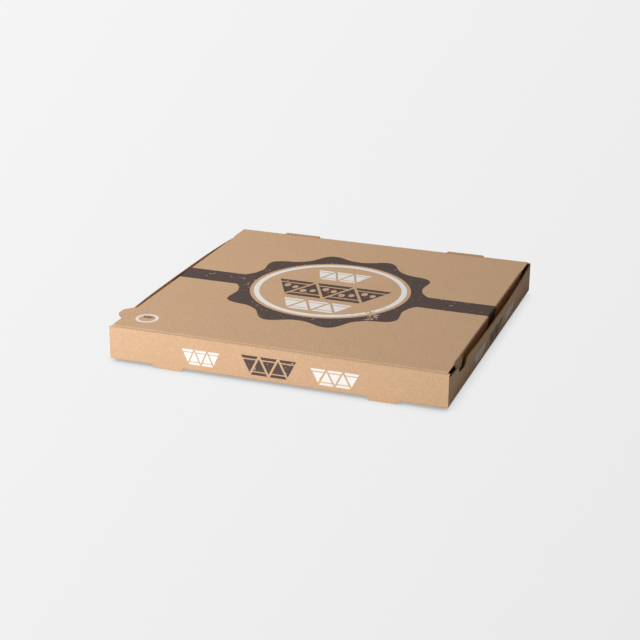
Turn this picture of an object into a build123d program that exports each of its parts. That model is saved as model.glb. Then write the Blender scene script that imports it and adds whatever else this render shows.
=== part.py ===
from build123d import *
import os

# Take-away pizza box, folded from one die-cut sheet of thin corrugated board.
# Millimetres. X to the right, Y to the back, Z up. The origin is the centre of the
# footprint, on the surface that the feet stand on. The hinge crease is at the back.

# ---- overall sizes -------------------------------------------------------
box_width = 330.0        # across X, over the outer faces of the side walls at their ends
box_depth = 330.0        # along Y, front face to back face
wall_height = 32.5       # underside of the base to the top of the rolled front wall
board = 1.4              # thickness of the corrugated board

# ---- feet and creases ----------------------------------------------------
foot_drop = 2.8          # the feet stand this far below the base
foot_root = 31.0         # length of a foot at the crease
foot_tip = 27.0          # length of a foot where it touches the ground
foot_inset = 59.5        # centre of a foot from the box's side
slot_play = 0.1          # room left in a foot's slot by the two plies that go down into it
crease_radius = 1.2      # outer rounding of a folded crease
crease_relief = 0.6      # how far below the lid's edge the flaps begin to bend
cut_past = 1.0           # cutters run past the faces that they cut by this much

# ---- rolled front wall ---------------------------------------------------
ply_gap = 0.15           # air between two plies of board that lie on each other
lock_tab_length = 24.0   # tabs of the inner front ply, seated in the foot slots

# ---- side walls ----------------------------------------------------------
side_drop = 1.9          # the side walls end this far below the lid
bow_right = 4.2          # outward bulge of the right wall's top edge at mid length
bow_left = 6.8           # the same on the left
notch_slope = 9.0        # each end of the ear notch slopes over this length
notch_depth = 7.0        # depth of the notch below the wall's top edge
notch_radius = 3.0       # rounding of the notch's lower corners

# ---- corner flaps --------------------------------------------------------
corner_flap_length = 46.0
corner_flap_taper = 4.0  # how much the flap's free end is cut back at the top
flap_floor_gap = 0.6     # flaps end this far above the base
flap_top_gap = 0.6       # and this far below the top of the side wall

# ---- back wall tabs ------------------------------------------------------
back_tab_length = 41.0
back_tab_inset = 71.5    # centre of a tab from the box's side
back_tab_rise = 1.3      # the tab stands this far above the lid

# ---- lid -----------------------------------------------------------------
lid_right_gap = 1.1      # lid's right edge to the inner face of an unbowed side wall
lid_left_over = 0.8      # the lid's left edge reaches this far over the left wall's top
lid_front_gap = 0.6      # tuck flap to the inner ply of the front wall
tuck_floor_gap = 3.7     # lower edge of the tuck flap above the base
tuck_inset = 4.5         # ends of the tuck flap inside the lid's edges
tuck_lean = 2.5          # the tuck flap leans inwards by this much at its lower edge
tuck_corner = 9.0        # rounding of the tuck flap's lower corners
side_floor_gap = 5.7     # lower edge of a side flap above the base
side_flap_lean = 3.5     # a side flap leans inwards by this much at its lower edge
side_flap_slant = 8.0    # the ends of a side flap slant by this much
side_flap_rear = 30.0    # a side flap ends this far before the hinge line
ear_reach = 9.0          # half-round ears at the lid's sides
ear_root = 29.0          # length of an ear along the lid's edge, and of its notch
ear_tip = 15.0           # length of an ear's outer edge, between its rounded corners
ear_corner = 6.0         # rounding of those corners
ear_setback = 41.0       # middle of an ear and of its notch, behind the box's front face
ear_fold_right = 80.0    # the right ear is folded down by this angle, in degrees
running_gap = 0.4        # air round what moves past a cut edge

# ---- planes worked out from the sizes above ------------------------------
half_width = box_width / 2
half_depth = box_depth / 2
base_low = foot_drop
base_top = base_low + board
front_top = base_low + wall_height
lid_low = front_top - board          # the lid lies on this level
lid_top = front_top
side_top = lid_low - side_drop
front_face = -half_depth
front_inner = front_face + board     # inner face of the outer front ply
roll_back = front_inner + board + 2 * ply_gap + board
side_inner = half_width - board
back_inner = half_depth - board
lid_right = side_inner - lid_right_gap
lid_left = side_inner + lid_left_over
lid_front = roll_back + lid_front_gap
hinge_y = half_depth
ear_centre = front_face + ear_setback
foot_offset = half_width - foot_inset
foot_slot = 2 * board + 2 * ply_gap + slot_play
back_tab_offset = half_width - back_tab_inset
tuck_height = lid_low - base_top - tuck_floor_gap
side_flap_height = lid_low - base_top - side_floor_gap
notch_bottom = ear_root - 2 * notch_slope
# A back tab's far corner lies at this radius from the hinge line; the lid's cut-out clears it.
lid_notch = (board**2 + (board + back_tab_rise) ** 2) ** 0.5 + running_gap


def block(x0, x1, y0, y1, z0, z1):
    """An upright box between the given planes."""
    size = (x1 - x0, y1 - y0, z1 - z0)
    centre = ((x0 + x1) / 2, (y0 + y1) / 2, (z0 + z1) / 2)
    return Pos(*centre) * Box(*size)


def along_x(points, x0, x1):
    """A (y, z) outline given as a list of points, extruded from x0 to x1."""
    face = make_face(Polyline([(x0, y, z) for y, z in points], close=True))
    return extrude(face, amount=x1 - x0, dir=(1, 0, 0))


def along_y(points, y0, y1):
    """An (x, z) outline, extruded from y0 to y1."""
    face = make_face(Polyline([(x, y0, z) for x, z in points], close=True))
    return extrude(face, amount=y1 - y0, dir=(0, 1, 0))


def side_wall(side, bow):
    """A side wall: straight at the base crease, its top edge bulging outwards by bow."""
    front = front_inner + ply_gap
    back = back_inner - ply_gap
    low = Polyline(
        (side * half_width, front, base_top),
        (side * half_width, back, base_top),
        (side * side_inner, back, base_top),
        (side * side_inner, front, base_top),
        close=True,
    )
    outer_mid = (side * (half_width + bow), 0, side_top)
    inner_mid = (side * (side_inner + bow), 0, side_top)
    front_corners = [(side * x, front, side_top) for x in (half_width, side_inner)]
    back_corners = [(side * x, back, side_top) for x in (half_width, side_inner)]
    high = [
        ThreePointArc(front_corners[0], outer_mid, back_corners[0]),
        Line(back_corners[0], back_corners[1]),
        ThreePointArc(back_corners[1], inner_mid, front_corners[1]),
        Line(front_corners[1], front_corners[0]),
    ]
    return loft([make_face(low), make_face(high)], ruled=True)


def ear_notch():
    """The cutter for the notches in the top edges of both side walls."""
    low = side_top - notch_depth
    outline = Polyline(
        (ear_centre - ear_root / 2, side_top + cut_past),
        (ear_centre - ear_root / 2, side_top),
        (ear_centre - notch_bottom / 2, low),
        (ear_centre + notch_bottom / 2, low),
        (ear_centre + ear_root / 2, side_top),
        (ear_centre + ear_root / 2, side_top + cut_past),
        close=True,
    )
    face = make_face(outline)
    floor_corners = face.vertices().sort_by(Axis.Y)[:2]
    face = fillet(floor_corners, notch_radius)
    reach = half_width + max(bow_right, bow_left) + cut_past
    return extrude(Plane.YZ.offset(-reach) * face, amount=2 * reach)


def corner_flap(side, front):
    """A flap folded in from the end of a side wall, behind the front or back wall."""
    if front:
        y0 = front_inner + ply_gap
    else:
        y0 = back_inner - ply_gap - board
    low = base_top + flap_floor_gap
    high = side_top - flap_top_gap
    root = side * (side_inner + board / 2)
    tip = side * (side_inner - corner_flap_length)
    outline = [
        (root, low),
        (tip, low),
        (tip, high - corner_flap_taper),
        (tip + side * corner_flap_taper, high),
        (root, high),
    ]
    return along_y(outline, y0, y0 + board)


def feet_and_slots(y_wall, y_slot):
    """Two feet in the plane of a wall, and the openings they leave in the base."""
    feet = []
    slots = []
    for side in (-1, 1):
        centre = side * foot_offset
        outline = [
            (centre - foot_root / 2, base_top),
            (centre - foot_root / 2, base_low),
            (centre - foot_tip / 2, 0),
            (centre + foot_tip / 2, 0),
            (centre + foot_root / 2, base_low),
            (centre + foot_root / 2, base_top),
        ]
        feet.append(along_y(outline, *y_wall))
        x0 = centre - foot_root / 2
        slots.append(block(x0, x0 + foot_root, *y_slot, base_low - cut_past, base_top))
    return feet, slots


def tray():
    """Base, rolled front wall, side walls, back wall and their flaps: one folded sheet."""
    slab = block(-half_width, half_width, front_face, half_depth, base_low, base_top)
    bottom_edges = slab.faces().sort_by(Axis.Z)[0].edges()
    slab = fillet(bottom_edges, crease_radius)

    front_feet, front_slots = feet_and_slots(
        (front_face, front_inner), (front_inner, front_inner + foot_slot)
    )
    back_feet, back_slots = feet_and_slots(
        (back_inner, half_depth), (back_inner - foot_slot, back_inner)
    )
    slab -= front_slots + back_slots

    outer_ply = block(-half_width, half_width, front_face, front_inner, base_top, front_top)
    roll = block(-half_width, half_width, front_face, roll_back, lid_low, front_top)
    front = outer_ply + roll
    roll_edges = front.faces().sort_by(Axis.Z)[-1].edges().filter_by(Axis.X)
    front = fillet(roll_edges, crease_radius)
    ply_half = side_inner - 2 * ply_gap
    inner_front = roll_back - board
    front += block(-ply_half, ply_half, inner_front, roll_back, base_top, lid_low)
    tabs = []
    for side in (-1, 1):
        x0 = side * foot_offset - lock_tab_length / 2
        z_tab = (base_low + ply_gap, base_top)
        tabs.append(block(x0, x0 + lock_tab_length, inner_front, roll_back, *z_tab))

    back = block(-half_width, half_width, back_inner, half_depth, base_top, lid_low)
    for side in (-1, 1):
        centre = side * back_tab_offset
        half = back_tab_length / 2
        outline = [
            (centre - half, lid_low),
            (centre - half, lid_top),
            (centre - half + back_tab_rise, lid_top + back_tab_rise),
            (centre + half - back_tab_rise, lid_top + back_tab_rise),
            (centre + half, lid_top),
            (centre + half, lid_low),
        ]
        back += along_y(outline, back_inner, half_depth)

    walls = []
    for side, bow in ((-1, bow_left), (1, bow_right)):
        wall = side_wall(side, bow) - ear_notch()
        flaps = [corner_flap(side, True), corner_flap(side, False)]
        walls.append(wall + flaps)

    return slab + front_feet + back_feet + front + tabs + back + walls


def lid_edge(side):
    """Distance of the lid's right (+1) or left (-1) edge from the middle plane."""
    return lid_right if side > 0 else lid_left


def ear(side):
    """A rounded ear in the plane of the lid, at the lid's right (+1) or left (-1) edge."""
    edge = lid_edge(side)
    tip_half = ear_tip / 2
    overlap = board
    outline = Polyline(
        (side * (edge - overlap), ear_centre - ear_root / 2),
        (side * edge, ear_centre - ear_root / 2),
        (side * (edge + ear_reach), ear_centre - tip_half),
        (side * (edge + ear_reach), ear_centre + tip_half),
        (side * edge, ear_centre + ear_root / 2),
        (side * (edge - overlap), ear_centre + ear_root / 2),
        close=True,
    )
    face = make_face(outline)
    tips = face.vertices().sort_by(Axis.X)
    tips = tips[-2:] if side > 0 else tips[:2]
    face = fillet(tips, ear_corner)
    return extrude(Pos(0, 0, lid_low) * face, amount=board, dir=(0, 0, 1))


def side_flap(side):
    """A flap hanging from a side edge of the lid, inside the tray's side wall."""
    low = lid_low - side_flap_height
    edge = lid_edge(side)
    outline = [
        (side * (edge - board), lid_low + board / 2),
        (side * edge, lid_low + board / 2 - crease_relief),
        (side * edge, lid_low),
        (side * (edge - side_flap_lean), low),
        (side * (edge - side_flap_lean - board), low),
        (side * (edge - board), lid_low),
    ]
    y0 = ear_centre + ear_root / 2 + running_gap
    y1 = hinge_y - side_flap_rear
    plate = along_y(outline, y0, y1)
    trims = []
    for end, inwards in ((y0, side_flap_slant), (y1, -side_flap_slant)):
        corner = [(end, lid_low), (end, low - cut_past), (end + inwards, low - cut_past)]
        trims.append(along_x(corner, -half_width, half_width))
    return plate - trims


def tuck_flap():
    """The lid's front flap, leaning inwards behind the rolled front wall."""
    low = lid_low - tuck_height
    section = [
        (lid_front, lid_low),
        (lid_front + board, lid_low + board / 2),
        (lid_front + board, lid_low),
        (lid_front + board + tuck_lean, low),
        (lid_front + tuck_lean, low),
    ]
    half = lid_right - tuck_inset
    plate = along_x(section, -half, half)
    outline = make_face(
        Polyline((-half, lid_top), (-half, low), (half, low), (half, lid_top), close=True)
    )
    outline = fillet(outline.vertices().sort_by(Axis.Y)[:2], tuck_corner)
    window = Plane.XZ.offset(-lid_front + board) * outline
    return plate & extrude(window, amount=2 * board + 2 * tuck_lean, dir=(0, 1, 0))


def lid():
    """The lid panel with its tuck flap, side flaps and ears."""
    panel = block(-lid_left, lid_right, lid_front, hinge_y, lid_low, lid_top)
    panel = fillet(panel.faces().sort_by(Axis.Z)[-1].edges(), crease_radius)
    for side in (-1, 1):
        centre = side * back_tab_offset
        half = back_tab_length / 2 + running_gap
        y_cut = (hinge_y - lid_notch, hinge_y + cut_past)
        z_cut = (lid_low - cut_past, lid_top + cut_past)
        panel -= block(centre - half, centre + half, *y_cut, *z_cut)
    fold_line = Axis((lid_right - board, 0, lid_low), (0, 1, 0))
    right_ear = ear(1).rotate(fold_line, ear_fold_right)
    return panel + [tuck_flap(), side_flap(-1), side_flap(1), ear(-1), right_ear]


os.makedirs("parts", exist_ok=True)
for name, part in (("tray", tray()), ("lid", lid())):
    solids = part.solids()
    print(name, "solids", len(solids), "volume", round(part.volume), "box", part.bounding_box())
    export_step(part, f"parts/{name}.step")
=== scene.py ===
# %% [markdown]
# A take-away pizza box is one sheet of thin corrugated board, cut, creased and folded.
# The frame brings in the sizes: the tray's and the lid's CAD solids. Everything below is
# modelled around them, in metres, so a piece lands in place with no fitting.

# %% Load the frame
import math

import bmesh
import bpy
import numpy as np
from mathutils import Matrix, Vector


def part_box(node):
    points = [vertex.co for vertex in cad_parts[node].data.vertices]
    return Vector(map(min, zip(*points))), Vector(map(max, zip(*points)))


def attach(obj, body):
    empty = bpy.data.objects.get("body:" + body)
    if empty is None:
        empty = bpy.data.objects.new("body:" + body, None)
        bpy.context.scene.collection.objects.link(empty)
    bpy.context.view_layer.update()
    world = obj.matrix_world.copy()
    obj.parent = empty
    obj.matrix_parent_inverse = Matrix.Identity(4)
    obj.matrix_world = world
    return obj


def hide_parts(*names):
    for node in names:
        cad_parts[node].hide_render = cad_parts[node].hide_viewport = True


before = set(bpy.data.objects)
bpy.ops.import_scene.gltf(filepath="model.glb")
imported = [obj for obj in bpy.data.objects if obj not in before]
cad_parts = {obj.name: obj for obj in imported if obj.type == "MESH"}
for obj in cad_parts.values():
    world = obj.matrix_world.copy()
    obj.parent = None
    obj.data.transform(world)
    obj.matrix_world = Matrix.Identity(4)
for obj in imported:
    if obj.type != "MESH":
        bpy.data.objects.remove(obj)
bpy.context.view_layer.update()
tray_low, tray_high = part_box("tray")
lid_low_corner, lid_high_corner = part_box("lid")
MM = 0.001

# %% [markdown]
# The sheet has one thickness everywhere. What the frame can tell is read from it: the
# front and back faces, the levels, and how far the side walls bulge. The rest are the
# maker's own sizes, such as how wide an ear is.

# %% Sizes
BOARD = 1.4 * MM                       # thickness of the corrugated board
LINER = 0.22 * MM                      # thickness of each flat paper liner
FLUTE_PITCH = 3.2 * MM                 # distance from one flute to the next
FLUTE_HOLLOW = 1.1 * MM                # how deep one can look into a cut edge
FOLD = 1.6 * MM                        # outer radius of a fold

FRONT = tray_low.y                     # front face of the box
BACK = tray_high.y                     # back face, and the hinge line
HALF = BACK                            # the box is square: side walls at +-HALF
BULGE = {1: tray_high.x - HALF, -1: -HALF - tray_low.x}
FOOT_DROP = 2.8 * MM
BASE_LOW = tray_low.z + FOOT_DROP      # underside of the base
BASE_TOP = BASE_LOW + BOARD
LID_TOP = lid_high_corner.z
LID_LOW = LID_TOP - BOARD
TAB_TOP = tray_high.z
SIDE_DROP = 1.9 * MM                   # the side walls stop this far below the lid
SIDE_TOP = LID_LOW - SIDE_DROP

PLY_GAP = 0.15 * MM                    # air between two plies that lie on each other
ROLL_BACK = FRONT + 3 * BOARD + 2 * PLY_GAP
SIDE_INNER = HALF - BOARD
LID_FRONT = lid_low_corner.y
RIGHT_GAP = 1.1 * MM                   # lid's right edge to the side wall's inner face
LEFT_OVER = 0.8 * MM                   # the left edge reaches this far over the wall's top
LID_EDGE = {1: SIDE_INNER - RIGHT_GAP, -1: SIDE_INNER + LEFT_OVER}
EAR_REACH = -LID_EDGE[-1] - lid_low_corner.x
EAR_CENTRE = FRONT + 41 * MM           # middle of an ear and of its notch
EAR_ROOT = 29 * MM                     # length along the lid's edge
EAR_TIP = 15 * MM                      # length of its outer edge
NOTCH_DEPTH = 7 * MM
NOTCH_FLOOR = 11 * MM                  # length of the notch's bottom
BOW_POWER = {1: 2.2, -1: 3.0}          # the left wall bulges more evenly along its length
print("wall height", round((LID_TOP - BASE_LOW) / MM, 2), "ear reach", round(EAR_REACH / MM, 2))


# %% [markdown]
# Flaps are cut back and edges rounded over a short distance, not in one step. This curve
# makes such a change even.

# %% Helper for smooth steps
def smooth(edge0, edge1, v):
    """0 below edge0, 1 above edge1, and an even curve between."""
    t = np.clip((np.asarray(v, float) - edge0) / (edge1 - edge0), 0, 1)
    return t * t * (3 - 2 * t)


# %% [markdown]
# A folded sheet is a line of stations: points along the outer face with the direction
# that the outer face looks in. Corners become arcs with the fold's radius, so light
# catches a fold as it does on board. The inner face is the same line, one board in.

# %% Stations along a folded line
def stations(corners, radii, step, extra=()):
    """Stations [a, b, na, nb] along a line that turns left at its corners.

    extra holds further places, one list for each straight run, as values of the
    coordinate that changes most on that run.
    """
    corners = [np.array(c, float) for c in corners]
    runs = [(b - a) / np.linalg.norm(b - a) for a, b in zip(corners, corners[1:])]
    cut = [0.0]
    for r, d0, d1 in zip(radii, runs, runs[1:]):
        turn = math.acos(max(-1.0, min(1.0, float(d0 @ d1))))
        cut.append(r * math.tan(turn / 2))
    cut.append(0.0)
    made = []
    for i, d in enumerate(runs):
        start = corners[i] + d * cut[i]
        end = corners[i + 1] - d * cut[i + 1]
        length = float((end - start) @ d)
        places = set(np.linspace(0, length, max(2, int(length / step) + 1)))
        if i < len(extra):
            axis = int(np.argmax(abs(d)))
            along = [(v - start[axis]) / d[axis] for v in extra[i]]
            places |= {s for s in along if 0 < s < length}
        normal = np.array([d[1], -d[0]])
        made += [np.concatenate([start + d * s, normal]) for s in sorted(places)]
        if i + 1 < len(runs):
            after = np.array([runs[i + 1][1], -runs[i + 1][0]])
            centre = end - normal * radii[i]
            for k in range(1, 6):
                n = normal * (1 - k / 6) + after * (k / 6)
                n /= np.linalg.norm(n)
                made.append(np.concatenate([centre + n * radii[i], n]))
    return np.array(made)


# %% [markdown]
# Where board is cut across its flutes, one looks between the two liners. The edge's
# outline has that channel; along a fold the outline is a quarter round, and where another
# panel joins on it is plain.

# %% Outlines of an edge, as (outwards, depth) steps from the outer face to the inner
OPEN_EDGE = [
    (0, 0),
    (0, LINER),
    (-FLUTE_HOLLOW, LINER),
    (-FLUTE_HOLLOW, BOARD - LINER),
    (0, BOARD - LINER),
    (0, BOARD),
]
ROUND_EDGE = [
    (-BOARD * (1 - math.sin(a)), BOARD * (1 - math.cos(a)))
    for a in np.linspace(0, math.pi / 2, 6)
]
PLAIN_EDGE = [(0, BOARD * k / 5) for k in range(6)]

OUTSIDE, INSIDE, CUT, FLUTE = range(4)  # material slots of a folded piece


# %% [markdown]
# One function skins all of them. It takes rows of points, each row a closed loop round
# the sheet's section, joins row to row and closes both ends. Normals are recalculated so
# that every face looks outwards.

# %% Skin a closed shell from loops
def skin(loops, slot_of, first_edge, last_edge):
    """A closed bmesh. Each row is n outer points, an edge, n inner points and an edge."""
    bm = bmesh.new()
    grid = [[bm.verts.new(p) for p in row] for row in loops]
    count = len(grid[0])
    n = (count - first_edge - last_edge) // 2
    for i, (lower, upper) in enumerate(zip(grid, grid[1:])):
        for j in range(count):
            k = (j + 1) % count
            face = bm.faces.new((lower[j], lower[k], upper[k], upper[j]))
            face.material_index = slot_of(i, j)
    inner = n + last_edge
    caps = [(k, k + 1, inner + n - 2 - k, inner + n - 1 - k) for k in range(n - 1)]
    if last_edge:
        caps.append(range(n - 1, inner + 1))
    if first_edge:
        caps.append([*range(inner + n - 1, count), 0])
    for row in (grid[0], grid[-1]):
        for corner in caps:
            bm.faces.new([row[c] for c in corner]).material_index = CUT
    bmesh.ops.remove_doubles(bm, verts=bm.verts, dist=1e-7)
    bmesh.ops.dissolve_degenerate(bm, edges=bm.edges, dist=1e-7)
    bmesh.ops.recalc_face_normals(bm, faces=bm.faces)
    return bm


def edge_frames(rows, tip, inwards, opposite):
    """Along a cut edge: its middle, the way into the board and the way across it.

    tip and opposite are the rows' places on the outer and inner face, at the edge;
    inwards is the place next to tip, further from the edge.
    """
    rows = np.asarray(rows, float)
    into = rows[:, inwards] - rows[:, tip]
    across = rows[:, tip] - rows[:, opposite]
    into /= np.linalg.norm(into, axis=1)[:, None]
    across /= np.linalg.norm(across, axis=1)[:, None]
    return (rows[:, tip] + rows[:, opposite]) / 2, into, across


def add_to(whole, bm):
    """Moves a bmesh's faces into the whole."""
    mesh = bpy.data.meshes.new("part")
    bm.to_mesh(mesh)
    bm.free()
    whole.from_mesh(mesh)
    bpy.data.meshes.remove(mesh)


# %% A sheet with stations in the (y, z) plane, running across the box
BETWEEN = 4                            # points between an edge's first and last
COLUMNS = 56                           # points across a sheet


def across_sheet(line, left, right, left_edges, right_edges, columns, round_rows=()):
    """Rows follow the line; left and right give the sheet's x at each station."""
    loops = []
    for (y, z, ny, nz), xl, xr, el, er in zip(line, left, right, left_edges, right_edges):
        outer = [(x, 0) for x in np.linspace(xl - el[0][0], xr + er[0][0], columns)]
        inner = [(x, BOARD) for x in np.linspace(xr + er[5][0], xl - el[5][0], columns)]
        right_side = [(xr + dx, d) for dx, d in er[1:5]]
        left_side = [(xl - dx, d) for dx, d in reversed(el[1:5])]
        row = outer + right_side + inner + left_side
        loops.append([(x, y - ny * d, z - nz * d) for x, d in row])

    def slot_of(i, j):
        if j < columns - 1:
            return OUTSIDE
        if columns + BETWEEN <= j < 2 * columns + BETWEEN - 1:
            return INSIDE
        return OUTSIDE if i in round_rows else CUT

    return np.array(loops), slot_of


# %% A block with its faces in the board's slots
def slab(outline, axis, low, high, slots=(CUT, CUT, CUT)):
    """A flat outline, extruded along x (0) or y (1). slots: low face, high face, rim."""
    bm = bmesh.new()
    order = (lambda v, a, b: (v, a, b)) if axis == 0 else (lambda v, a, b: (a, v, b))
    bottom = [bm.verts.new(order(low, a, b)) for a, b in outline]
    top = [bm.verts.new(order(high, a, b)) for a, b in outline]
    bm.faces.new(bottom).material_index = slots[0]
    bm.faces.new(top).material_index = slots[1]
    for i in range(len(outline)):
        k = (i + 1) % len(outline)
        bm.faces.new((bottom[i], bottom[k], top[k], top[i])).material_index = slots[2]
    bmesh.ops.recalc_face_normals(bm, faces=bm.faces)
    return bm


# %% Cut rectangular openings out of a shell
def cut_boxes(bm, boxes):
    """Subtracts (low corner, high corner) boxes with an exact boolean."""
    mesh = bpy.data.meshes.new("sheet")
    bm.to_mesh(mesh)
    bm.free()
    for slot in range(3):
        mesh.materials.append(None)
    body = bpy.data.objects.new("sheet", mesh)
    bpy.context.scene.collection.objects.link(body)
    cutter = bmesh.new()
    for (x0, y0, z0), (x1, y1, z1) in boxes:
        add_to(cutter, slab([(y0, z0), (y1, z0), (y1, z1), (y0, z1)], 0, x0, x1))
    cutter_mesh = bpy.data.meshes.new("cutter")
    cutter.to_mesh(cutter_mesh)
    cutter.free()
    for slot in range(3):
        cutter_mesh.materials.append(None)
    tool = bpy.data.objects.new("cutter", cutter_mesh)
    bpy.context.scene.collection.objects.link(tool)
    boolean = body.modifiers.new("cut", "BOOLEAN")
    boolean.operation = "DIFFERENCE"
    boolean.solver = "EXACT"
    boolean.object = tool
    result = bpy.data.meshes.new_from_object(
        body.evaluated_get(bpy.context.evaluated_depsgraph_get())
    )
    made = bmesh.new()
    made.from_mesh(result)
    for old in (body, tool):
        bpy.data.objects.remove(old)
    for old in (mesh, cutter_mesh, result):
        bpy.data.meshes.remove(old)
    return made


# %% [markdown]
# The tray's main strip: the inner front ply goes up, rolls over the top and comes down as
# the outer front ply, turns into the base and rises again as the back wall. Its ends show
# open flutes, except along the base, where the sheet folds up into the side walls.

# %% Tray: front roll, base and back wall
strip = stations(
    [(ROLL_BACK, BASE_TOP), (ROLL_BACK, LID_TOP), (FRONT, LID_TOP), (FRONT, BASE_LOW),
     (BACK, BASE_LOW), (BACK, LID_LOW)],
    [FOLD, FOLD, FOLD, FOLD],
    9 * MM,
)
inner_ply = (strip[:, 0] > ROLL_BACK - 0.1 * MM) & (strip[:, 0] < 0)
on_base = strip[:, 3] < -0.99
strip_half = np.where(inner_ply, SIDE_INNER - 2 * PLY_GAP, HALF)


def edge_for(folded):
    """The edge's outline at a station: a share of the fold's quarter round."""
    weight = float(folded)
    return [
        (o[0] * (1 - weight) + r[0] * weight, o[1] * (1 - weight) + r[1] * weight)
        for o, r in zip(OPEN_EDGE, ROUND_EDGE)
    ]


strip_edges = [edge_for(smooth(0.3, 1.0, -nz)) for nz in strip[:, 3]]
loops, slot_of = across_sheet(
    strip, -strip_half, strip_half, strip_edges, strip_edges, COLUMNS,
    round_rows=set(np.nonzero(on_base)[0]),
)
main = skin(loops, slot_of, BETWEEN, BETWEEN)
open_edges = {"tray": [], "lid": []}


def note_across(body, rows, columns, side, keep):
    """Notes the open stretches of an across-sheet's right (1) or left (-1) edge."""
    places = (columns - 1, columns - 2, columns + BETWEEN) if side > 0 else (0, 1, -1 - BETWEEN)
    frames = edge_frames(rows, *places)
    breaks = np.nonzero(np.diff(np.concatenate([[0], keep.astype(int), [0]])))[0]
    for start, stop in zip(breaks[::2], breaks[1::2]):
        if stop - start > 2:
            open_edges[body].append([f[start:stop] for f in frames])


for side in (-1, 1):
    note_across("tray", loops, COLUMNS, side, strip[:, 3] > -0.3)

FOOT_ROOT, FOOT_TIP, FOOT_OFFSET = 31 * MM, 27 * MM, 105.5 * MM
FOOT_SLOT, LOCK_TAB = 3.2 * MM, 24 * MM
openings = []
for side in (-1, 1):
    x0, x1 = side * FOOT_OFFSET - FOOT_ROOT / 2, side * FOOT_OFFSET + FOOT_ROOT / 2
    for y0 in (FRONT + BOARD, BACK - BOARD - FOOT_SLOT):
        openings.append(((x0, y0, BASE_LOW - BOARD), (x1, y0 + FOOT_SLOT, BASE_TOP)))
tray = cut_boxes(main, openings)
print("tray strip: stations", len(strip), "faces", len(tray.faces))

# %% Tray: feet, lock tabs and back tabs
for side in (-1, 1):
    c = side * FOOT_OFFSET
    foot = [(c - FOOT_ROOT / 2, BASE_LOW + FOLD), (c - FOOT_ROOT / 2, BASE_LOW), (c - FOOT_TIP / 2, 0),
            (c + FOOT_TIP / 2, 0), (c + FOOT_ROOT / 2, BASE_LOW), (c + FOOT_ROOT / 2, BASE_LOW + FOLD)]
    add_to(tray, slab(foot, 1, FRONT, FRONT + BOARD, (OUTSIDE, INSIDE, CUT)))
    add_to(tray, slab(foot, 1, BACK - BOARD, BACK, (INSIDE, OUTSIDE, CUT)))
    lock = [(c - LOCK_TAB / 2, BASE_LOW + PLY_GAP), (c + LOCK_TAB / 2, BASE_LOW + PLY_GAP),
            (c + LOCK_TAB / 2, BASE_TOP), (c - LOCK_TAB / 2, BASE_TOP)]
    add_to(tray, slab(lock, 1, ROLL_BACK - BOARD, ROLL_BACK, (INSIDE, OUTSIDE, CUT)))

BACK_TAB, BACK_TAB_OFFSET = 41 * MM, 93.5 * MM
rise = TAB_TOP - LID_TOP
for side in (-1, 1):
    c, half = side * BACK_TAB_OFFSET, BACK_TAB / 2
    tab = [(c - half, LID_LOW), (c + half, LID_LOW), (c + half, LID_TOP), (c + half - rise, TAB_TOP),
           (c - half + rise, TAB_TOP), (c - half, LID_TOP)]
    add_to(tray, slab(tab, 1, BACK - BOARD, BACK, (INSIDE, OUTSIDE, CUT)))


# %% [markdown]
# Each side wall is one upright sheet with its corner flaps, so it is made as one piece:
# from the free end of the front flap, round the corner, along the wall and round to the
# rear flap. Its top edge has the notch that takes the lid's ear, and it bulges outwards
# between its ends, because nothing holds it there.

# %% Tray: side walls with their corner flaps
FLAP_LENGTH, FLAP_TAPER = 46 * MM, 4 * MM
FLAP_FLOOR, FLAP_DROP = BASE_TOP + 0.6 * MM, 0.6 * MM


def notch(y):
    """How far the ear's notch goes down at y, with soft lower corners."""
    off = abs(np.asarray(y, float) - EAR_CENTRE)
    slope = (EAR_ROOT - NOTCH_FLOOR) / 2
    t = np.clip((EAR_ROOT / 2 - off) / slope, 0, 1)
    return NOTCH_DEPTH * (1 - (1 - t) ** 1.5) ** 0.9


def bulge(side, y, z):
    """Outward shift of a side wall. It grows from the base crease to the top edge."""
    rise_share = np.clip((z - BASE_TOP) / (SIDE_TOP - BASE_TOP), 0, 1)
    bow = 1 - abs(y / (HALF - BOARD - PLY_GAP)) ** BOW_POWER[side]
    return side * BULGE[side] * rise_share * max(bow, 0)


end = HALF - BOARD - PLY_GAP
ear_places = list(np.arange(EAR_CENTRE - EAR_ROOT / 2, EAR_CENTRE + EAR_ROOT / 2 + 1e-6, 0.75 * MM))
wall_line = stations(
    [(SIDE_INNER - FLAP_LENGTH, -end), (HALF, -end), (HALF, end), (SIDE_INNER - FLAP_LENGTH, end)],
    [FOLD, FOLD], 7 * MM, extra=([], ear_places, []),
)
LEVELS = 8
for side in (-1, 1):
    loops = []
    for x, y, nx, ny in wall_line:
        on_flap = abs(ny) > 0.8
        if on_flap:
            bottom = FLAP_FLOOR
            top = SIDE_TOP - FLAP_DROP
            top -= FLAP_TAPER * (1 - smooth(0, FLAP_TAPER, x - (SIDE_INNER - FLAP_LENGTH)))
        else:
            bottom = BASE_TOP - 0.1 * MM
            top = SIDE_TOP - float(notch(y))
        outer = [(0, z) for z in np.linspace(bottom, top, LEVELS)]
        inner = [(BOARD, z) for z in np.linspace(top, bottom, LEVELS)]
        edge = [(d, top + dz) for dz, d in OPEN_EDGE[1:5]]
        row = []
        for d, z in outer + edge + inner:
            px, py = x - nx * d, y - ny * d
            row.append((side * px + bulge(side, py, z), py, z))
        loops.append(row)

    def wall_slot(i, j):
        if j < LEVELS - 1:
            return OUTSIDE
        return INSIDE if LEVELS + BETWEEN <= j < 2 * LEVELS + BETWEEN - 1 else CUT

    add_to(tray, skin(np.array(loops), wall_slot, 0, BETWEEN))
    open_edges["tray"].append(edge_frames(loops, LEVELS - 1, LEVELS - 2, LEVELS + BETWEEN))
print("tray faces", len(tray.faces))

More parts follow.
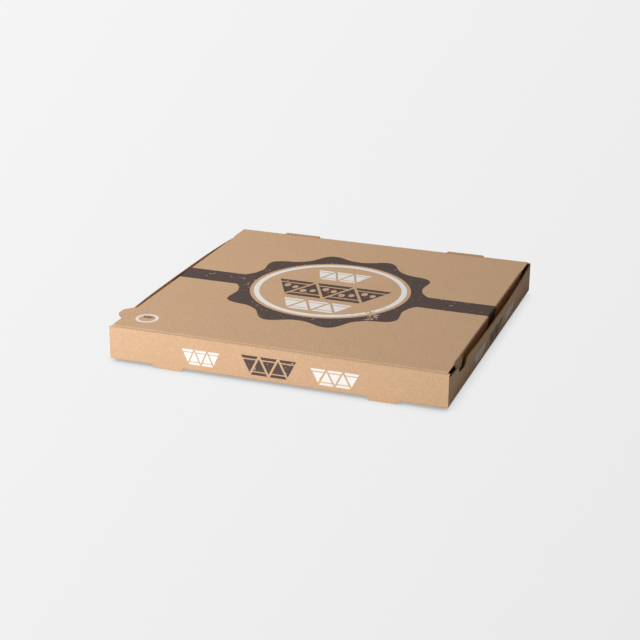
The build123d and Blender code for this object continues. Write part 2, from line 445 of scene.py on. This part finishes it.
# %% [markdown]
# The lid is the same kind of strip: from the hinge crease over the top and down the tuck
# flap. Its side edges follow the ear on the left; where the side flaps hang, the panel
# stops at the fold and the flap's own sheet goes on round it.

# %% Lid: panel and tuck flap
TUCK_HEIGHT, TUCK_INSET, TUCK_LEAN, TUCK_CORNER = 26 * MM, 4.5 * MM, 2.5 * MM, 9 * MM
GAP = 0.4 * MM                         # air round what moves past a cut edge
FLAP_FRONT = EAR_CENTRE + EAR_ROOT / 2 + GAP
FLAP_REAR = BACK - 30 * MM             # the side flaps end this far before the hinge
SIDE_FLAP_HEIGHT, SIDE_FLAP_SLANT, SIDE_FLAP_LEAN = 24 * MM, 8 * MM, 3.5 * MM
RIGHT_EAR_FOLD = math.radians(80)      # the right ear is folded down by this angle
STUB = 0.3 * MM                        # straight stretch after a fold, before the outline
STEP = 0.02 * MM                       # two stations this close make a square step


def ear_shape(y):
    """How far an ear reaches out of the lid's edge at y."""
    off = abs(np.asarray(y, float) - EAR_CENTRE)
    t = np.clip((EAR_ROOT / 2 - off) / ((EAR_ROOT - EAR_TIP) / 2 + 3 * MM), 0, 1)
    return EAR_REACH * (0.45 * t + 0.55 * np.sin(t * math.pi / 2))


panel_places = ear_places + [FLAP_FRONT - STEP, FLAP_FRONT, FLAP_REAR, FLAP_REAR + STEP]
panel_places += [EAR_CENTRE - EAR_ROOT / 2 - STEP, EAR_CENTRE + EAR_ROOT / 2 + STEP]
tuck_low = LID_LOW - TUCK_HEIGHT
tuck_places = [tuck_low + v for v in TUCK_CORNER * (1 - np.cos(np.linspace(0, math.pi / 2, 9)))]
lid_line = stations(
    [(BACK, LID_LOW), (BACK, LID_TOP), (LID_FRONT, LID_TOP), (LID_FRONT + TUCK_LEAN, tuck_low)],
    [BOARD, FOLD], 7 * MM, extra=([], panel_places, tuck_places),
)
right_x, left_x, right_edges, left_edges = [], [], [], []
for y, z, ny, nz in lid_line:
    edges = {1: OPEN_EDGE, -1: OPEN_EDGE}
    reach = dict(LID_EDGE)
    if nz < 0.2 and y < 0:
        depth_left = max(0.0, TUCK_CORNER - (z - tuck_low))
        cut_back = TUCK_CORNER - math.sqrt(max(0.0, TUCK_CORNER**2 - depth_left**2))
        reach[1] -= TUCK_INSET + cut_back
        reach[-1] = reach[1]
    elif FLAP_FRONT <= y <= FLAP_REAR:
        reach = {1: LID_EDGE[1] - FOLD, -1: LID_EDGE[-1] - FOLD}
        edges = {1: PLAIN_EDGE, -1: PLAIN_EDGE}
    elif abs(y - EAR_CENTRE) <= EAR_ROOT / 2:
        reach[-1] += float(ear_shape(y))
        reach[1] -= FOLD
        edges[1] = PLAIN_EDGE
    right_x.append(reach[1])
    left_x.append(-reach[-1])
    right_edges.append(edges[1])
    left_edges.append(edges[-1])
loops, slot_of = across_sheet(lid_line, left_x, right_x, left_edges, right_edges, COLUMNS)
panel = skin(loops, slot_of, BETWEEN, BETWEEN)
for side, edges in ((-1, left_edges), (1, right_edges)):
    is_open = np.array([e is OPEN_EDGE for e in edges]) & (lid_line[:, 3] > 0.5)
    note_across("lid", loops, COLUMNS, side, is_open)
lid_notch = math.hypot(BOARD, BOARD + rise) + GAP
cuts = []
for side in (-1, 1):
    c, half = side * BACK_TAB_OFFSET, BACK_TAB / 2 + GAP
    cuts.append(((c - half, BACK - lid_notch, LID_LOW - BOARD), (c + half, BACK + BOARD, LID_TOP + BOARD)))
lid = cut_boxes(panel, cuts)
print("lid panel: stations", len(lid_line), "faces", len(lid.faces))


# %% Lid: flaps that hang from the side edges
def hanging(side, places, reach_of, turn, levels=7):
    """A sheet that folds down from the lid's side edge. turn is the fold's angle."""
    centre_x, centre_z = LID_EDGE[side] - FOLD, LID_TOP - FOLD
    angles = np.linspace(math.pi / 2, math.pi / 2 - turn, 7)
    nx, nz = math.cos(angles[-1]), math.sin(angles[-1])
    down_x, down_z = nz, -nx
    loops = []
    for y in places:
        reach = float(reach_of(y))
        outer = [(centre_x + FOLD * math.cos(a), centre_z + FOLD * math.sin(a), math.cos(a), math.sin(a))
                 for a in angles]
        ex, ez = outer[-1][:2]
        for s in np.linspace(0, reach, levels)[1:]:
            outer.append((ex + down_x * s, ez + down_z * s, nx, nz))
        tip = outer[-1]
        edge = [(tip[0] + down_x * dz - nx * d, tip[1] + down_z * dz - nz * d) for dz, d in OPEN_EDGE[1:5]]
        inner = [(x - a * BOARD, z - b * BOARD) for x, z, a, b in reversed(outer)]
        row = [(x, z) for x, z, a, b in outer] + edge + inner
        loops.append([(side * x, y, z) for x, z in row])
    count = len(angles) + levels - 1

    def slot(i, j):
        if j < count - 1:
            return OUTSIDE
        return INSIDE if count + BETWEEN <= j < 2 * count + BETWEEN - 1 else CUT

    open_edges["lid"].append(edge_frames(loops, count - 1, count - 2, count + BETWEEN))
    return skin(np.array(loops), slot, 0, BETWEEN)


def flap_reach(y):
    """The side flap's height at y: full between its slanted ends."""
    room = min(y - FLAP_FRONT, FLAP_REAR - y)
    return STUB + SIDE_FLAP_HEIGHT * min(1.0, room / SIDE_FLAP_SLANT)


lean = math.atan(SIDE_FLAP_LEAN / SIDE_FLAP_HEIGHT)
flap_places = np.concatenate([
    np.linspace(FLAP_FRONT, FLAP_FRONT + SIDE_FLAP_SLANT, 5),
    np.linspace(FLAP_FRONT + SIDE_FLAP_SLANT, FLAP_REAR - SIDE_FLAP_SLANT, 30)[1:-1],
    np.linspace(FLAP_REAR - SIDE_FLAP_SLANT, FLAP_REAR, 5),
])
for side in (-1, 1):
    add_to(lid, hanging(side, flap_places, flap_reach, math.pi / 2 + lean))
add_to(lid, hanging(1, ear_places, lambda y: STUB + ear_shape(y), RIGHT_EAR_FOLD))
print("lid faces", len(lid.faces))


# %% [markdown]
# Between the two liners runs a wavy paper, the flute. Geometry Nodes makes one straight
# wavy ribbon of any length; a few lines of Python then lay it along each cut edge.

# %% Geometry Nodes: a wavy ribbon
FLUTE_PAPER = 0.16 * MM
FLUTE_SWING = BOARD / 2 - LINER - FLUTE_PAPER / 2
RIBBON_INPUTS = [
    ("Length", 0.1), ("Pitch", FLUTE_PITCH), ("Swing", FLUTE_SWING),
    ("Depth", FLUTE_HOLLOW), ("Thickness", FLUTE_PAPER),
]


def link(tree, socket, value):
    """Feeds a socket from another socket, or sets its constant."""
    if isinstance(value, bpy.types.NodeSocket):
        tree.links.new(value, socket)
    else:
        socket.default_value = value


def node(tree, kind, values=(), out=0, **settings):
    """Adds a node. values are its inputs, by place or by name. Returns one output."""
    made = tree.nodes.new(kind)
    for key, value in settings.items():
        setattr(made, key, value)
    pairs = values.items() if isinstance(values, dict) else enumerate(values)
    for key, value in pairs:
        if value is not None:
            link(tree, made.inputs[key], value)
    return made.outputs[out]


def maths(tree, operation, *values, clamp=False):
    """A Math node."""
    return node(tree, "ShaderNodeMath", values, operation=operation, use_clamp=clamp)


flute_material = bpy.data.materials.new("flute_paper")
ribbon = bpy.data.node_groups.new("wavy_ribbon", "GeometryNodeTree")
ribbon.interface.new_socket("Geometry", in_out="OUTPUT", socket_type="NodeSocketGeometry")
for label, value in RIBBON_INPUTS:
    made = ribbon.interface.new_socket(label, in_out="INPUT", socket_type="NodeSocketFloat")
    made.default_value = value
given = ribbon.nodes.new("NodeGroupInput").outputs
end_point = node(ribbon, "ShaderNodeCombineXYZ", {"X": given["Length"]})
line = node(ribbon, "GeometryNodeCurvePrimitiveLine", {"End": end_point})
waves = maths(ribbon, "DIVIDE", given["Length"], given["Pitch"])
points = maths(ribbon, "CEIL", maths(ribbon, "MULTIPLY", waves, 8.0))
fine_line = node(ribbon, "GeometryNodeResampleCurve", {"Curve": line, "Count": points})
place = node(ribbon, "ShaderNodeSeparateXYZ", [node(ribbon, "GeometryNodeInputPosition")])
turns = maths(ribbon, "DIVIDE", place, given["Pitch"])
wave = maths(ribbon, "SINE", maths(ribbon, "MULTIPLY", turns, 2 * math.pi))
lift = maths(ribbon, "MULTIPLY", wave, given["Swing"])
offset = node(ribbon, "ShaderNodeCombineXYZ", {"Z": lift})
wavy = node(ribbon, "GeometryNodeSetPosition", {"Geometry": fine_line, "Offset": offset})
profile = node(
    ribbon, "GeometryNodeCurvePrimitiveQuadrilateral",
    {"Width": given["Depth"], "Height": given["Thickness"]},
)
solid = node(
    ribbon, "GeometryNodeCurveToMesh",
    {"Curve": wavy, "Profile Curve": profile, "Fill Caps": True},
)
solid = node(ribbon, "GeometryNodeRealizeInstances", [solid])
solid = node(ribbon, "GeometryNodeSetMaterial", {"Geometry": solid, "Material": flute_material})
ribbon.links.new(solid, ribbon.nodes.new("NodeGroupOutput").inputs[0])


# %% Lay the ribbon along every cut edge
def ribbon_mesh(length):
    """A straight ribbon of the given length, as a plain mesh."""
    holder = bpy.data.objects.new("ribbon", bpy.data.meshes.new("ribbon"))
    bpy.context.scene.collection.objects.link(holder)
    modifier = holder.modifiers.new("ribbon", "NODES")
    modifier.node_group = ribbon
    for item in ribbon.interface.items_tree:
        if item.in_out == "INPUT" and item.name == "Length":
            modifier[item.identifier] = length
    made = bpy.data.meshes.new_from_object(
        holder.evaluated_get(bpy.context.evaluated_depsgraph_get())
    )
    holder.modifiers.remove(modifier)
    bpy.data.objects.remove(holder)
    return made


def lay_ribbon(whole, frames):
    """Bends a ribbon along an edge and adds it to the piece."""
    middle, into, across = frames
    steps = np.linalg.norm(np.diff(middle, axis=0), axis=1)
    along = np.concatenate([[0], np.cumsum(steps)])
    made = ribbon_mesh(along[-1])
    for vertex in made.vertices:
        x, y, z = vertex.co
        p, d, n = (
            np.array([np.interp(x, along, f[:, axis]) for axis in range(3)])
            for f in (middle, into, across)
        )
        vertex.co = p + d * (y + FLUTE_HOLLOW / 2 + 0.04 * MM) + n * z
    bm = bmesh.new()
    bm.from_mesh(made)
    for face in bm.faces:
        face.material_index = FLUTE
    bmesh.ops.recalc_face_normals(bm, faces=bm.faces)
    add_to(whole, bm)


for body, whole in (("tray", tray), ("lid", lid)):
    for frames in open_edges[body]:
        lay_ribbon(whole, frames)
    print(body, "cut edges", len(open_edges[body]), "faces", len(whole.faces))


# %% [markdown]
# Colours are written as they should look on screen, and turned into the linear values
# that a shader works in. Bare board is warm brown; a cut edge is painted a little darker,
# as painted shade for the light that gets lost between its liners.

# %% Colours
def paint(red, green, blue):
    """A screen colour, 0 to 255, as linear RGBA."""
    def linear(c):
        c /= 255
        return c / 12.92 if c <= 0.04045 else ((c + 0.055) / 1.055) ** 2.4
    return (linear(red), linear(green), linear(blue), 1.0)


KRAFT_OUTSIDE = paint(205, 168, 133)
KRAFT_INSIDE = paint(196, 156, 120)
# painted shade: a little darker than the board, for the light lost between the liners
KRAFT_EDGE = paint(176, 138, 104)
KRAFT_FLUTE = paint(158, 120, 88)
DARK_INK = paint(72, 60, 60)
WHITE_INK = paint(240, 238, 235)


# %% [markdown]
# Everything that all the board's faces share is a node group: the paper itself, the faint
# ridges of the flutes under the liner, the way ink wears off, and the shapes of the print.

# %% Helpers for shader node groups
FLOAT, VECTOR, COLOUR = "NodeSocketFloat", "NodeSocketVector", "NodeSocketColor"


def new_group(name, inputs, outputs):
    """An empty group with named sockets. Returns its tree, inputs and outputs."""
    tree = bpy.data.node_groups.new(name, "ShaderNodeTree")
    for label, kind, value in inputs:
        made = tree.interface.new_socket(label, in_out="INPUT", socket_type=kind)
        made.default_value = value
    for label, kind in outputs:
        tree.interface.new_socket(label, in_out="OUTPUT", socket_type=kind)
    return tree, tree.nodes.new("NodeGroupInput").outputs, tree.nodes.new("NodeGroupOutput").inputs


def use_group(tree, group, **values):
    """Puts a group in a tree. Spaces in socket names are written as underscores."""
    made = tree.nodes.new("ShaderNodeGroup")
    made.node_tree = group
    for key, value in values.items():
        link(tree, made.inputs[key.replace("_", " ")], value)
    return made.outputs


def noise(tree, place, scale, detail=2.0, roughness=0.5):
    """A Noise Texture's value."""
    values = {"Vector": place, "Scale": scale, "Detail": detail, "Roughness": roughness}
    return node(tree, "ShaderNodeTexNoise", values)


def step_up(tree, value, low, high):
    """0 below low, 1 above high, smooth between."""
    values = {"Value": value, "From Min": low, "From Max": high}
    return node(tree, "ShaderNodeMapRange", values, interpolation_type="SMOOTHSTEP")


def mix(tree, factor, first, second, blend_type="MIX"):
    """A colour mix."""
    values = {0: factor, 6: first, 7: second}
    return node(tree, "ShaderNodeMix", values, out=2, data_type="RGBA", blend_type=blend_type)


def grey(tree, value):
    """A value as a grey colour."""
    return node(tree, "ShaderNodeCombineColor", [value, value, value])


# %% Group: brown paper
paper, given, result = new_group(
    "brown_paper",
    [("Place", VECTOR, (0, 0, 0)), ("Colour", COLOUR, KRAFT_OUTSIDE), ("Clouds", FLOAT, 0.06),
     ("Fibres", FLOAT, 1.0), ("Flecks", FLOAT, 0.25)],
    [("Colour", COLOUR), ("Height", FLOAT)],
)
clouds = maths(paper, "SUBTRACT", noise(paper, given["Place"], 26.0), 0.5)
stretched = node(paper, "ShaderNodeVectorMath", [given["Place"], (2.2, 0.7, 2.2)], operation="MULTIPLY")
fibres = noise(paper, stretched, 620.0, 4.0, 0.65)
fibres = maths(paper, "SUBTRACT", fibres, 0.5)
bright = maths(paper, "MULTIPLY_ADD", clouds, given["Clouds"], 1.0)
bright = maths(paper, "ADD", bright, maths(paper, "MULTIPLY", fibres, given["Fibres"]))
fleck = step_up(paper, noise(paper, stretched, 310.0, 1.0), 0.68, 0.76)
bright = maths(paper, "SUBTRACT", bright, maths(paper, "MULTIPLY", fleck, given["Flecks"]))
link(paper, result["Colour"], mix(paper, 1.0, given["Colour"], grey(paper, bright), "MULTIPLY"))
link(paper, result["Height"], fibres)

# %% Group: ridges of the flutes under the liner
ridges, given, result = new_group(
    "flute_ridges",
    [("Place", VECTOR, (0, 0, 0)), ("Facing", VECTOR, (0, 0, 1)), ("Pitch", FLOAT, FLUTE_PITCH)],
    [("Height", FLOAT)],
)
place = node(ridges, "ShaderNodeSeparateXYZ", [given["Place"]])
facing = node(ridges, "ShaderNodeSeparateXYZ", [given["Facing"]], out=1)
to_front = maths(ridges, "GREATER_THAN", maths(ridges, "ABSOLUTE", facing), 0.7)
y, z = place.node.outputs["Y"], place.node.outputs["Z"]
across = node(ridges, "ShaderNodeMix", {0: to_front, 2: y, 3: z})
turns = maths(ridges, "DIVIDE", across, given["Pitch"])
link(ridges, result["Height"], maths(ridges, "SINE", maths(ridges, "MULTIPLY", turns, 2 * math.pi)))

# %% Group: ink that has rubbed off in specks
ink, given, result = new_group(
    "worn_ink",
    [("Mask", FLOAT, 1.0), ("Place", VECTOR, (0, 0, 0)), ("Wear", FLOAT, 0.5)],
    [("Mask", FLOAT)],
)
patches = step_up(ink, noise(ink, given["Place"], 30.0, 2.0), 0.42, 0.7)
specks = noise(ink, given["Place"], 330.0, 2.0, 0.6)
limit = maths(ink, "MULTIPLY_ADD", maths(ink, "MULTIPLY", patches, given["Wear"]), -0.22, 0.73)
holes = maths(ink, "GREATER_THAN", specks, limit)
left = maths(ink, "SUBTRACT", given["Mask"], holes, clamp=True)
link(ink, result["Mask"], left)

# %% Group: a row of pizza slices, alternately point down and point up
slices, given, result = new_group(
    "row_of_slices",
    [("U", FLOAT, 0.0), ("V", FLOAT, 0.0), ("Width", FLOAT, 0.1), ("Height", FLOAT, 0.03),
     ("Pairs", FLOAT, 3.0), ("Gap", FLOAT, 0.1), ("Topping", FLOAT, 1.0)],
    [("Mask", FLOAT)],
)
share = maths(slices, "ADD", maths(slices, "DIVIDE", given["U"], given["Width"]), 0.5)
level = maths(slices, "ADD", maths(slices, "DIVIDE", given["V"], given["Height"]), 0.5)
turn = maths(slices, "MULTIPLY", share, given["Pairs"])
fraction = maths(slices, "FRACT", turn)
zigzag = maths(slices, "ABSOLUTE", maths(slices, "MULTIPLY_ADD", fraction, 2.0, -1.0))
apart = maths(slices, "SUBTRACT", level, zigzag)
body_mask = maths(slices, "GREATER_THAN", maths(slices, "ABSOLUTE", apart), given["Gap"])
points_up = maths(slices, "LESS_THAN", apart, 0.0)
from_tip = node(
    slices, "ShaderNodeMix",
    {0: points_up, 2: level, 3: maths(slices, "SUBTRACT", 1.0, level)},
)
crust_gap = maths(slices, "COMPARE", from_tip, 0.82, 0.03)
centre_shift = maths(slices, "MULTIPLY", points_up, 0.5)
cell = maths(slices, "FRACT", maths(slices, "ADD", turn, centre_shift))
cell = maths(slices, "SUBTRACT", cell, 0.5)
left_dot = maths(slices, "MULTIPLY_ADD", cell, 1.35, 0.17)
right_dot = maths(slices, "MULTIPLY_ADD", cell, 1.35, -0.14)
dots = 0.0
for centre, height, size in ((left_dot, 0.63, 0.11), (right_dot, 0.56, 0.1)):
    rise = maths(slices, "SUBTRACT", from_tip, height)
    square = maths(slices, "MULTIPLY_ADD", rise, rise, maths(slices, "MULTIPLY", centre, centre))
    limit = maths(slices, "MULTIPLY", given["Topping"], size * size)
    dots = maths(slices, "MAXIMUM", dots, maths(slices, "LESS_THAN", square, limit))
half_row = maths(slices, "MULTIPLY", given["Pairs"], 0.5)
whole_only = maths(slices, "MULTIPLY_ADD", points_up, -0.5, half_row)
inside_u = maths(slices, "COMPARE", turn, half_row, whole_only)
inside_v = maths(slices, "COMPARE", level, 0.5, 0.5)
mask = maths(slices, "MULTIPLY", inside_u, inside_v)
mask = maths(slices, "MULTIPLY", mask, body_mask)
mask = maths(slices, "SUBTRACT", mask, crust_gap, clamp=True)
link(slices, result["Mask"], maths(slices, "SUBTRACT", mask, dots, clamp=True))

# %% Group: a round label with a wavy rim
label, given, result = new_group(
    "round_label",
    [("U", FLOAT, 0.0), ("V", FLOAT, 0.0), ("Ring in", FLOAT, 0.0715), ("Ring out", FLOAT, 0.077),
     ("Rim in", FLOAT, 0.0810), ("Rim out", FLOAT, 0.0925), ("Wave", FLOAT, 0.0135),
     ("Waves", FLOAT, 10.0), ("Sharpness", FLOAT, 1.4)],
    [("Ring", FLOAT), ("Rim", FLOAT), ("Outside", FLOAT)],
)
square = maths(label, "MULTIPLY", given["V"], given["V"])
square = maths(label, "MULTIPLY_ADD", given["U"], given["U"], square)
radius = maths(label, "SQRT", square)
angle = maths(label, "ARCTAN2", given["V"], given["U"])
wave = maths(label, "COSINE", maths(label, "MULTIPLY", angle, given["Waves"]))
lobes = maths(label, "POWER", maths(label, "MULTIPLY_ADD", wave, 0.5, 0.5), given["Sharpness"])
edge = maths(label, "MULTIPLY_ADD", lobes, given["Wave"], given["Rim out"])
outside = maths(label, "GREATER_THAN", radius, given["Rim in"])
rim = maths(label, "MULTIPLY", outside, maths(label, "LESS_THAN", radius, edge))
ring = maths(label, "MULTIPLY", maths(label, "GREATER_THAN", radius, given["Ring in"]),
             maths(label, "LESS_THAN", radius, given["Ring out"]))
link(label, result["Ring"], ring)
link(label, result["Rim"], rim)
link(label, result["Outside"], outside)


# %% [markdown]
# Each material reads the piece's own coordinates, so the print stays put when the lid
# turns. A board material lays white ink and dark ink over the paper, and bends the
# normal a little with the fibres and the flutes.

# %% Materials
def board_material(name, colour, marks=None, ridge=0.012 * MM):
    """Brown board. marks(tree, place) gives its white and its dark print masks."""
    made = bpy.data.materials.new(name)
    made.use_nodes = True
    tree = made.node_tree
    shader = tree.nodes["Principled BSDF"]
    coordinates = tree.nodes.new("ShaderNodeTexCoord").outputs
    place = coordinates["Object"]
    face = use_group(tree, paper, Place=place, Colour=colour)
    shade = face["Colour"]
    if marks:
        white, dark, rubbed = marks(tree, place)
        for mask, tint, least in ((dark, DARK_INK, 0.4), (white, WHITE_INK, 0.15)):
            wear = maths(tree, "ADD", rubbed, least)
            left = use_group(tree, ink, Mask=mask, Place=place, Wear=wear)["Mask"]
            shade = mix(tree, maths(tree, "MULTIPLY", left, 0.94), shade, tint)
    link(tree, shader.inputs["Base Color"], shade)
    shader.inputs["Roughness"].default_value = 0.82
    shader.inputs["Specular IOR Level"].default_value = 0.28
    wavy = use_group(tree, ridges, Place=place, Facing=coordinates["Normal"])["Height"]
    height = maths(tree, "MULTIPLY", wavy, ridge)
    height = maths(tree, "MULTIPLY_ADD", face["Height"], 0.06 * MM, height)
    values = {"Strength": 1.0, "Distance": 1.0, "Height": height}
    link(tree, shader.inputs["Normal"], node(tree, "ShaderNodeBump", values))
    return made


def total(tree, masks):
    """The largest of several masks."""
    whole = masks[0]
    for mask in masks[1:]:
        whole = maths(tree, "MAXIMUM", whole, mask)
    return whole


def row(tree, u, v, centre, size, topping=0.0, gap=0.12):
    """One row of slices, centred at centre and of that size, in millimetres."""
    return use_group(
        tree, slices, U=maths(tree, "SUBTRACT", u, centre[0] * MM),
        V=maths(tree, "SUBTRACT", v, centre[1] * MM), Width=size[0] * MM, Height=size[1] * MM,
        Gap=gap, Topping=topping,
    )["Mask"]


LABEL_PLACE = (-5.0, 6.0)              # centre of the round label, from the box's middle
STAMP_PLACE = (-141.2, -132.8)
RUBBED_PLACE = (52.0, -48.0)           # where the label is rubbed most, from its centre
BAND_HALF = 15.0 * MM
BAND_SHIFT = -1.6 * MM                 # the band lies a little in front of the label's centre


def lid_print(tree, place):
    """A round label on a dark band, with rows of slices, and a small stamp. Gives the
    white mask, the dark mask and how much more the ink is rubbed off there."""
    split = node(tree, "ShaderNodeSeparateXYZ", [place]).node.outputs
    u = maths(tree, "SUBTRACT", split["X"], LABEL_PLACE[0] * MM)
    v = maths(tree, "SUBTRACT", split["Y"], LABEL_PLACE[1] * MM)
    big = use_group(tree, label, U=u, V=v)
    band = maths(tree, "COMPARE", v, BAND_SHIFT, BAND_HALF)
    band = maths(tree, "MULTIPLY", band, big["Outside"])
    stamp_u = maths(tree, "SUBTRACT", split["X"], STAMP_PLACE[0] * MM)
    stamp_v = maths(tree, "SUBTRACT", split["Y"], STAMP_PLACE[1] * MM)
    small = use_group(
        tree, label, U=stamp_u, V=stamp_v, Ring_in=8.2 * MM, Ring_out=10.6 * MM,
        Rim_in=10.5 * MM, Rim_out=10.5 * MM, Wave=1.2 * MM, Waves=26.0,
    )
    stamp_bar = row(tree, stamp_u, stamp_v, (-0.7, 3.4), (11.3, 5))
    white = [big["Ring"], small["Ring"], small["Rim"],
             row(tree, u, v, (-2.3, 41), (60, 26)), row(tree, u, v, (0.6, -49.6), (75, 26))]
    dark = [big["Rim"], band, stamp_bar, row(tree, u, v, (0.6, -6.3), (123, 42), 1.0, 0.08)]
    corner_u = maths(tree, "SUBTRACT", u, RUBBED_PLACE[0] * MM)
    corner_v = maths(tree, "SUBTRACT", v, RUBBED_PLACE[1] * MM)
    corner = node(tree, "ShaderNodeCombineXYZ", [corner_u, corner_v])
    away = node(tree, "ShaderNodeVectorMath", [corner], out=1, operation="LENGTH")
    rubbed = maths(tree, "MULTIPLY", step_up(tree, away, 34 * MM, 12 * MM), 1.1)
    return total(tree, white), total(tree, dark), rubbed


def tray_print(tree, place):
    """Rows of slices on the front wall and on the right wall."""
    split = node(tree, "ShaderNodeSeparateXYZ", [place]).node.outputs
    x, y, z = split["X"], split["Y"], split["Z"]
    at_front = maths(tree, "LESS_THAN", y, FRONT + LINER)
    at_right = maths(tree, "GREATER_THAN", x, HALF - LINER)
    base = BASE_LOW / MM
    front_white = [row(tree, x, z, (-71.6, base + 13.75), (39, 14.7)),
                   row(tree, x, z, (59.6, base + 12.75), (48, 15.3))]
    front_dark = row(tree, x, z, (-4.2, base + 14.4), (56, 18.6))
    right_white = [row(tree, y, z, (-58, base + 11.8), (42, 12)),
                   row(tree, y, z, (62.3, base + 11.8), (42, 12))]
    right_dark = row(tree, y, z, (2.2, base + 11.8), (57, 16.4))
    white = [maths(tree, "MULTIPLY", total(tree, front_white), at_front),
             maths(tree, "MULTIPLY", total(tree, right_white), at_right)]
    dark = [maths(tree, "MULTIPLY", front_dark, at_front),
            maths(tree, "MULTIPLY", right_dark, at_right)]
    return total(tree, white), total(tree, dark), 0.1


inside = board_material("board_inside", KRAFT_INSIDE)
cut_edge = board_material("board_cut_edge", KRAFT_EDGE, ridge=0.0)
outside = {
    "tray": board_material("tray_outside", KRAFT_OUTSIDE, tray_print),
    "lid": board_material("lid_outside", KRAFT_OUTSIDE, lid_print),
}
flute_material.use_nodes = True
flute_shader = flute_material.node_tree.nodes["Principled BSDF"]
flute_shader.inputs["Base Color"].default_value = KRAFT_FLUTE
flute_shader.inputs["Roughness"].default_value = 0.9
print("materials", len(bpy.data.materials))


# %% [markdown]
# The two pieces: the tray's sheet and the lid's sheet. Each rides on its CAD body and
# stands in for that body's solid.

# %% Place the pieces
def place_piece(name, bm, body):
    """Turns a bmesh into a piece that rides on a body."""
    mesh = bpy.data.meshes.new(name)
    bm.to_mesh(mesh)
    bm.free()
    for material in (outside[body], inside, cut_edge, flute_material):
        mesh.materials.append(material)
    piece = bpy.data.objects.new(name, mesh)
    bpy.context.scene.collection.objects.link(piece)
    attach(piece, body)
    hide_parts(body)
    print(name, "triangles", sum(len(p.vertices) - 2 for p in mesh.polygons))


place_piece("tray_sheet", tray, "tray")
place_piece("lid_sheet", lid, "lid")


# %% [markdown]
# A plain pale floor. Camera, glossy and transmission rays see a soft glow that fades to the right
# and darkens close to the box as a painted shadow. Diffuse light meets a matt floor, and gets no glow.

# %% Floor
floor_mesh = bpy.data.meshes.new("floor")
reach = 6.0
floor_mesh.from_pydata(
    [(-reach, -reach, 0), (reach, -reach, 0), (reach, reach, 0), (-reach, reach, 0)],
    [], [(0, 1, 2, 3)],
)
floor = bpy.data.objects.new("floor", floor_mesh)
bpy.context.scene.collection.objects.link(floor)
floor_material = bpy.data.materials.new("floor")
floor_material.use_nodes = True
tree = floor_material.node_tree
rays = tree.nodes.new("ShaderNodeLightPath").outputs
seen = total(tree, [rays["Is Camera Ray"], rays["Is Glossy Ray"], rays["Is Transmission Ray"]])
pale = paint(240, 240, 240)
GLOW = 0.871                           # at the view's lower left corner
FADE_RIGHT, FADE_UP = -0.056, 0.04     # change of the glow across the view
CONTACT_REACH = 14 * MM                # the painted shade under the box reaches this far out
window = node(tree, "ShaderNodeSeparateXYZ", [tree.nodes.new("ShaderNodeTexCoord").outputs["Window"]])
fade = maths(tree, "MULTIPLY_ADD", window, FADE_RIGHT, GLOW)
fade = maths(tree, "MULTIPLY_ADD", window.node.outputs["Y"], FADE_UP, fade)
# painted shadow: ambient occlusion darkens the glow close to the box
contact = node(tree, "ShaderNodeAmbientOcclusion", {"Distance": CONTACT_REACH}, out=1, samples=12)
contact = maths(tree, "MULTIPLY", fade, step_up(tree, contact, -0.8, 0.95))
glow = node(tree, "ShaderNodeEmission", {"Color": grey(tree, contact)})
lit = node(tree, "ShaderNodeBsdfDiffuse", {"Color": pale})
surface = node(tree, "ShaderNodeMixShader", [seen, lit, glow])
link(tree, tree.nodes["Material Output"].inputs["Surface"], surface)
floor_mesh.materials.append(floor_material)

# %% World light and lamps
world = bpy.data.worlds.new("world")
bpy.context.scene.world = world
world.use_nodes = True
background = world.node_tree.nodes["Background"]
background.inputs["Color"].default_value = (1, 1, 1, 1)
background.inputs["Strength"].default_value = 0.045


def area_lamp(name, place, aim, size, watts):
    """A square lamp at a place, turned towards a point. place and size are in metres."""
    lamp = bpy.data.lights.new(name, "AREA")
    lamp.energy = watts
    lamp.size = size
    made = bpy.data.objects.new(name, lamp)
    bpy.context.scene.collection.objects.link(made)
    made.location = place
    made.rotation_euler = (Vector(aim) - Vector(place)).to_track_quat("-Z", "Y").to_euler()


BOX_MIDDLE = (0, 0, 0.02)
area_lamp("key", (-1.2, -1.5, 0.64), BOX_MIDDLE, 0.7, 41)
area_lamp("top", (-0.45, 0.25, 1.25), BOX_MIDDLE, 0.8, 10.5)

# %% Camera
camera_data = bpy.data.cameras.new("camera")
camera_data.lens = 83.5                # millimetres, as is the sensor's width
camera_data.sensor_width = 36
camera = bpy.data.objects.new("camera", camera_data)
bpy.context.scene.collection.objects.link(camera)
azimuth, elevation, roll = (math.radians(v) for v in (19.64, 20.82, 0.473))
camera.matrix_world = (
    Matrix.Translation((0.4584, -1.3229, 0.5379))
    @ Matrix.Rotation(azimuth, 4, "Z")
    @ Matrix.Rotation(math.pi / 2 - elevation, 4, "X")
    @ Matrix.Rotation(roll, 4, "Z")
)
bpy.context.scene.camera = camera
bpy.context.scene.view_settings.view_transform = "Standard"
